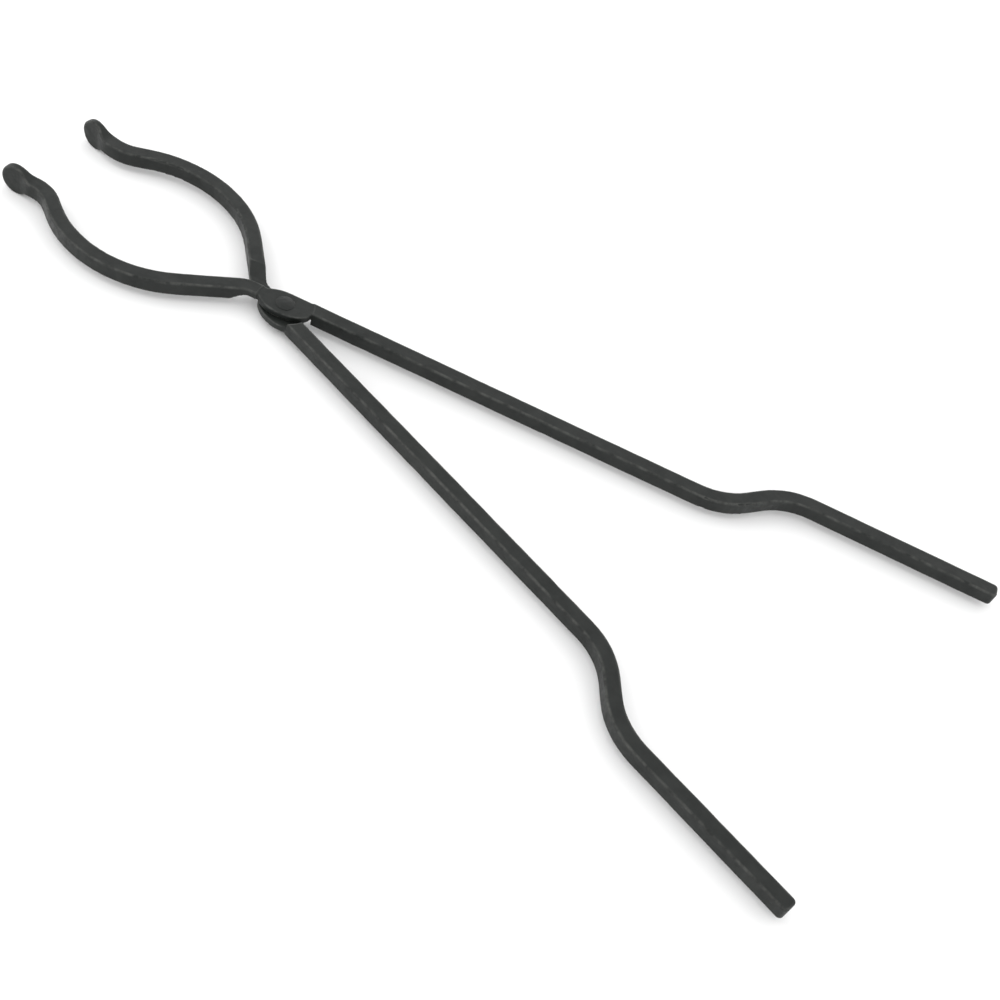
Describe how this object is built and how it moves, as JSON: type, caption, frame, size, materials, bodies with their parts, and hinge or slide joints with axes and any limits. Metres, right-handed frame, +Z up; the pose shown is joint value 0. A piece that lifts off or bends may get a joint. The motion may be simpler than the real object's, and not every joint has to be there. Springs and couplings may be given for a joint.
{
  "type": "crucible tongs",
  "caption": "Long forged steel tongs with bowed jaws, round upright paddle tips, a riveted half-lap pivot and jogged straight grips.",
  "frame": {"origin": "on the bench, under the middle of the tongs' own box as they lie flat and part open", "axes": "+X towards the grips along the line that halves the angle between the handles, +Z up along the rivet's axis, +Y towards the upper arm's handle"},
  "size_m": [0.6244, 0.2782, 0.0192],
  "materials": {
    "arm_steel": "forged steel bar with a satin black heat finish, slightly worn and lighter along its edges",
    "rivet_steel": "hammered rivet head, satin black with lighter hammer marks"
  },
  "bodies": {
    "lower": {"lower_arm": "arm_steel", "pivot_rivet": "rivet_steel"},
    "upper": {"upper_arm": "arm_steel"}
  },
  "joints": [
    {"name": "pivot", "type": "hinge", "parent": "lower", "child": "upper", "pos_m": [-0.12482, -0.00176, 0.0096], "axis": [0, 0, 1], "range_deg": [-18.7, 104]}
  ]
}
